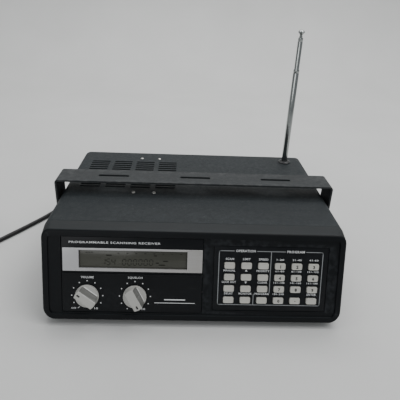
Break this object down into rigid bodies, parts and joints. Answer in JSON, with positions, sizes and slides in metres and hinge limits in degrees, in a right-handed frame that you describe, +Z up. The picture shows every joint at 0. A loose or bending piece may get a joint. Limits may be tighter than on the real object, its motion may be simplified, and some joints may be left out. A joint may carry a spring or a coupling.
{
  "type": "desktop scanning receiver",
  "caption": "Low, wide receiver with a leaning keypad and display face, two knobs, top speaker vents, telescopic aerial, mounting bracket and mains lead.",
  "frame": {"origin": "middle of the receiver's footprint with its aerial, bracket and knobs, without the mains lead, at the level the feet stand on", "axes": "+Z up, the front face looks towards -Y, +X to the right seen from the front"},
  "size_m": [0.4577, 0.2877, 0.2374],
  "materials": {
    "charcoal_paint": "textured satin charcoal paint on folded sheet steel",
    "bracket_paint": "satin dark grey paint on steel strip",
    "black_plastic": "moulded black plastic with a fine grain",
    "panel_black": "smooth near-black panel with printed pale grey lettering",
    "silver_trim": "satin silver frame",
    "knob_silver": "satin silver-grey moulded plastic",
    "key_plastic": "light grey moulded keys",
    "lcd_glass": "olive-grey liquid crystal display behind clear plastic",
    "steel": "plated steel",
    "chrome": "bright chromed tube",
    "black_rubber": "moulded black rubber",
    "circuit_board": "green glass-epoxy board",
    "speaker_grey": "speaker frame, cone and magnet as one piece",
    "cord_plastic": "black flexible insulation"
  },
  "bodies": {
    "receiver": {"top_cover": "charcoal_paint", "base_pan": "charcoal_paint", "rear_panel": "charcoal_paint", "front_bezel": "black_plastic", "control_panel": "panel_black", "keypad_panel": "panel_black", "display_frame": "silver_trim", "display_window": "lcd_glass", "front_board": "circuit_board", "keypad_mat": "black_rubber", "main_board": "circuit_board", "power_transformer": "steel", "speaker": "speaker_grey", "aerial_bushing": "black_plastic", "aerial_base_tube": "chrome", "volume_pot": "steel", "squelch_pot": "steel", "aerial_jack": "steel", "dc_jack": "steel", "foot_front_left": "black_rubber", "foot_front_right": "black_rubber", "foot_rear_left": "black_rubber", "foot_rear_right": "black_rubber", "strain_relief": "cord_plastic", "power_cord": "cord_plastic", "cord_coil": "cord_plastic", "mains_plug": "cord_plastic"},
    "bracket": {"mounting_bracket": "bracket_paint"},
    "screw_left": {"bracket_screw_left": "black_plastic"},
    "screw_right": {"bracket_screw_right": "black_plastic"},
    "aerial_middle": {"aerial_middle_tube": "chrome"},
    "aerial_tip": {"aerial_tip_rod": "chrome"},
    "volume": {"volume_knob": "knob_silver", "volume_shaft": "steel"},
    "squelch": {"squelch_knob": "knob_silver", "squelch_shaft": "steel"},
    "key_1_1": {"key_1_1": "key_plastic"},
    "key_1_2": {"key_1_2": "key_plastic"},
    "key_1_3": {"key_1_3": "key_plastic"},
    "key_1_4": {"key_1_4": "key_plastic"},
    "key_1_5": {"key_1_5": "key_plastic"},
    "key_1_6": {"key_1_6": "key_plastic"},
    "key_2_1": {"key_2_1": "key_plastic"},
    "key_2_2": {"key_2_2": "key_plastic"},
    "key_2_3": {"key_2_3": "key_plastic"},
    "key_2_4": {"key_2_4": "key_plastic"},
    "key_2_5": {"key_2_5": "key_plastic"},
    "key_2_6": {"key_2_6": "key_plastic"},
    "key_3_1": {"key_3_1": "key_plastic"},
    "key_3_2": {"key_3_2": "key_plastic"},
    "key_3_3": {"key_3_3": "key_plastic"},
    "key_3_4": {"key_3_4": "key_plastic"},
    "key_3_5": {"key_3_5": "key_plastic"},
    "key_3_6": {"key_3_6": "key_plastic"},
    "key_4_1": {"key_4_1": "key_plastic"},
    "key_4_2": {"key_4_2": "key_plastic"},
    "key_4_3": {"key_4_3": "key_plastic"},
    "key_4_4": {"key_4_4": "key_plastic"},
    "key_4_5": {"key_4_5": "key_plastic"},
    "key_4_6": {"key_4_6": "key_plastic"}
  },
  "joints": [
    {"name": "bracket_tilt", "type": "hinge", "parent": "receiver", "child": "bracket", "pos_m": [0, 0.00208, 0.046], "axis": [1, 0, 0], "range_deg": [-22, 22]},
    {"name": "aerial_middle_slide", "type": "slide", "parent": "receiver", "child": "aerial_middle", "axis": [0, 0, 1], "range_m": [-0.033, 0.055]},
    {"name": "aerial_tip_slide", "type": "slide", "parent": "aerial_middle", "child": "aerial_tip", "axis": [0, 0, 1], "range_m": [0, 0.085]},
    {"name": "volume_turn", "type": "hinge", "parent": "receiver", "child": "volume", "pos_m": [-0.0942, -0.10054, 0.02733], "axis": [0, 0.9588, -0.284], "range_deg": [-98, 206]},
    {"name": "squelch_turn", "type": "hinge", "parent": "receiver", "child": "squelch", "pos_m": [-0.0524, -0.10054, 0.02733], "axis": [0, 0.9588, -0.284], "range_deg": [-304, 0]},
    {"name": "screw_left_turn", "type": "hinge", "parent": "receiver", "child": "screw_left", "pos_m": [-0.1398, 0.00208, 0.046], "axis": [-1, 0, 0], "range_deg": [0, 360]},
    {"name": "screw_right_turn", "type": "hinge", "parent": "receiver", "child": "screw_right", "pos_m": [0.1398, 0.00208, 0.046], "axis": [1, 0, 0], "range_deg": [0, 360]},
    {"name": "key_1_1_press", "type": "slide", "parent": "receiver", "child": "key_1_1", "axis": [0, 0.9588, -0.284], "range_m": [0, 0.001], "stiffness_N_per_m": 500, "springref_m": -0.0005},
    {"name": "key_1_2_press", "type": "slide", "parent": "receiver", "child": "key_1_2", "axis": [0, 0.9588, -0.284], "range_m": [0, 0.001], "stiffness_N_per_m": 500, "springref_m": -0.0005},
    {"name": "key_1_3_press", "type": "slide", "parent": "receiver", "child": "key_1_3", "axis": [0, 0.9588, -0.284], "range_m": [0, 0.001], "stiffness_N_per_m": 500, "springref_m": -0.0005},
    {"name": "key_1_4_press", "type": "slide", "parent": "receiver", "child": "key_1_4", "axis": [0, 0.9588, -0.284], "range_m": [0, 0.001], "stiffness_N_per_m": 500, "springref_m": -0.0005},
    {"name": "key_1_5_press", "type": "slide", "parent": "receiver", "child": "key_1_5", "axis": [0, 0.9588, -0.284], "range_m": [0, 0.001], "stiffness_N_per_m": 500, "springref_m": -0.0005},
    {"name": "key_1_6_press", "type": "slide", "parent": "receiver", "child": "key_1_6", "axis": [0, 0.9588, -0.284], "range_m": [0, 0.001], "stiffness_N_per_m": 500, "springref_m": -0.0005},
    {"name": "key_2_1_press", "type": "slide", "parent": "receiver", "child": "key_2_1", "axis": [0, 0.9588, -0.284], "range_m": [0, 0.001], "stiffness_N_per_m": 500, "springref_m": -0.0005},
    {"name": "key_2_2_press", "type": "slide", "parent": "receiver", "child": "key_2_2", "axis": [0, 0.9588, -0.284], "range_m": [0, 0.001], "stiffness_N_per_m": 500, "springref_m": -0.0005},
    {"name": "key_2_3_press", "type": "slide", "parent": "receiver", "child": "key_2_3", "axis": [0, 0.9588, -0.284], "range_m": [0, 0.001], "stiffness_N_per_m": 500, "springref_m": -0.0005},
    {"name": "key_2_4_press", "type": "slide", "parent": "receiver", "child": "key_2_4", "axis": [0, 0.9588, -0.284], "range_m": [0, 0.001], "stiffness_N_per_m": 500, "springref_m": -0.0005},
    {"name": "key_2_5_press", "type": "slide", "parent": "receiver", "child": "key_2_5", "axis": [0, 0.9588, -0.284], "range_m": [0, 0.001], "stiffness_N_per_m": 500, "springref_m": -0.0005},
    {"name": "key_2_6_press", "type": "slide", "parent": "receiver", "child": "key_2_6", "axis": [0, 0.9588, -0.284], "range_m": [0, 0.001], "stiffness_N_per_m": 500, "springref_m": -0.0005},
    {"name": "key_3_1_press", "type": "slide", "parent": "receiver", "child": "key_3_1", "axis": [0, 0.9588, -0.284], "range_m": [0, 0.001], "stiffness_N_per_m": 500, "springref_m": -0.0005},
    {"name": "key_3_2_press", "type": "slide", "parent": "receiver", "child": "key_3_2", "axis": [0, 0.9588, -0.284], "range_m": [0, 0.001], "stiffness_N_per_m": 500, "springref_m": -0.0005},
    {"name": "key_3_3_press", "type": "slide", "parent": "receiver", "child": "key_3_3", "axis": [0, 0.9588, -0.284], "range_m": [0, 0.001], "stiffness_N_per_m": 500, "springref_m": -0.0005},
    {"name": "key_3_4_press", "type": "slide", "parent": "receiver", "child": "key_3_4", "axis": [0, 0.9588, -0.284], "range_m": [0, 0.001], "stiffness_N_per_m": 500, "springref_m": -0.0005},
    {"name": "key_3_5_press", "type": "slide", "parent": "receiver", "child": "key_3_5", "axis": [0, 0.9588, -0.284], "range_m": [0, 0.001], "stiffness_N_per_m": 500, "springref_m": -0.0005},
    {"name": "key_3_6_press", "type": "slide", "parent": "receiver", "child": "key_3_6", "axis": [0, 0.9588, -0.284], "range_m": [0, 0.001], "stiffness_N_per_m": 500, "springref_m": -0.0005},
    {"name": "key_4_1_press", "type": "slide", "parent": "receiver", "child": "key_4_1", "axis": [0, 0.9588, -0.284], "range_m": [0, 0.001], "stiffness_N_per_m": 500, "springref_m": -0.0005},
    {"name": "key_4_2_press", "type": "slide", "parent": "receiver", "child": "key_4_2", "axis": [0, 0.9588, -0.284], "range_m": [0, 0.001], "stiffness_N_per_m": 500, "springref_m": -0.0005},
    {"name": "key_4_3_press", "type": "slide", "parent": "receiver", "child": "key_4_3", "axis": [0, 0.9588, -0.284], "range_m": [0, 0.001], "stiffness_N_per_m": 500, "springref_m": -0.0005},
    {"name": "key_4_4_press", "type": "slide", "parent": "receiver", "child": "key_4_4", "axis": [0, 0.9588, -0.284], "range_m": [0, 0.001], "stiffness_N_per_m": 500, "springref_m": -0.0005},
    {"name": "key_4_5_press", "type": "slide", "parent": "receiver", "child": "key_4_5", "axis": [0, 0.9588, -0.284], "range_m": [0, 0.001], "stiffness_N_per_m": 500, "springref_m": -0.0005},
    {"name": "key_4_6_press", "type": "slide", "parent": "receiver", "child": "key_4_6", "axis": [0, 0.9588, -0.284], "range_m": [0, 0.001], "stiffness_N_per_m": 500, "springref_m": -0.0005}
  ]
}
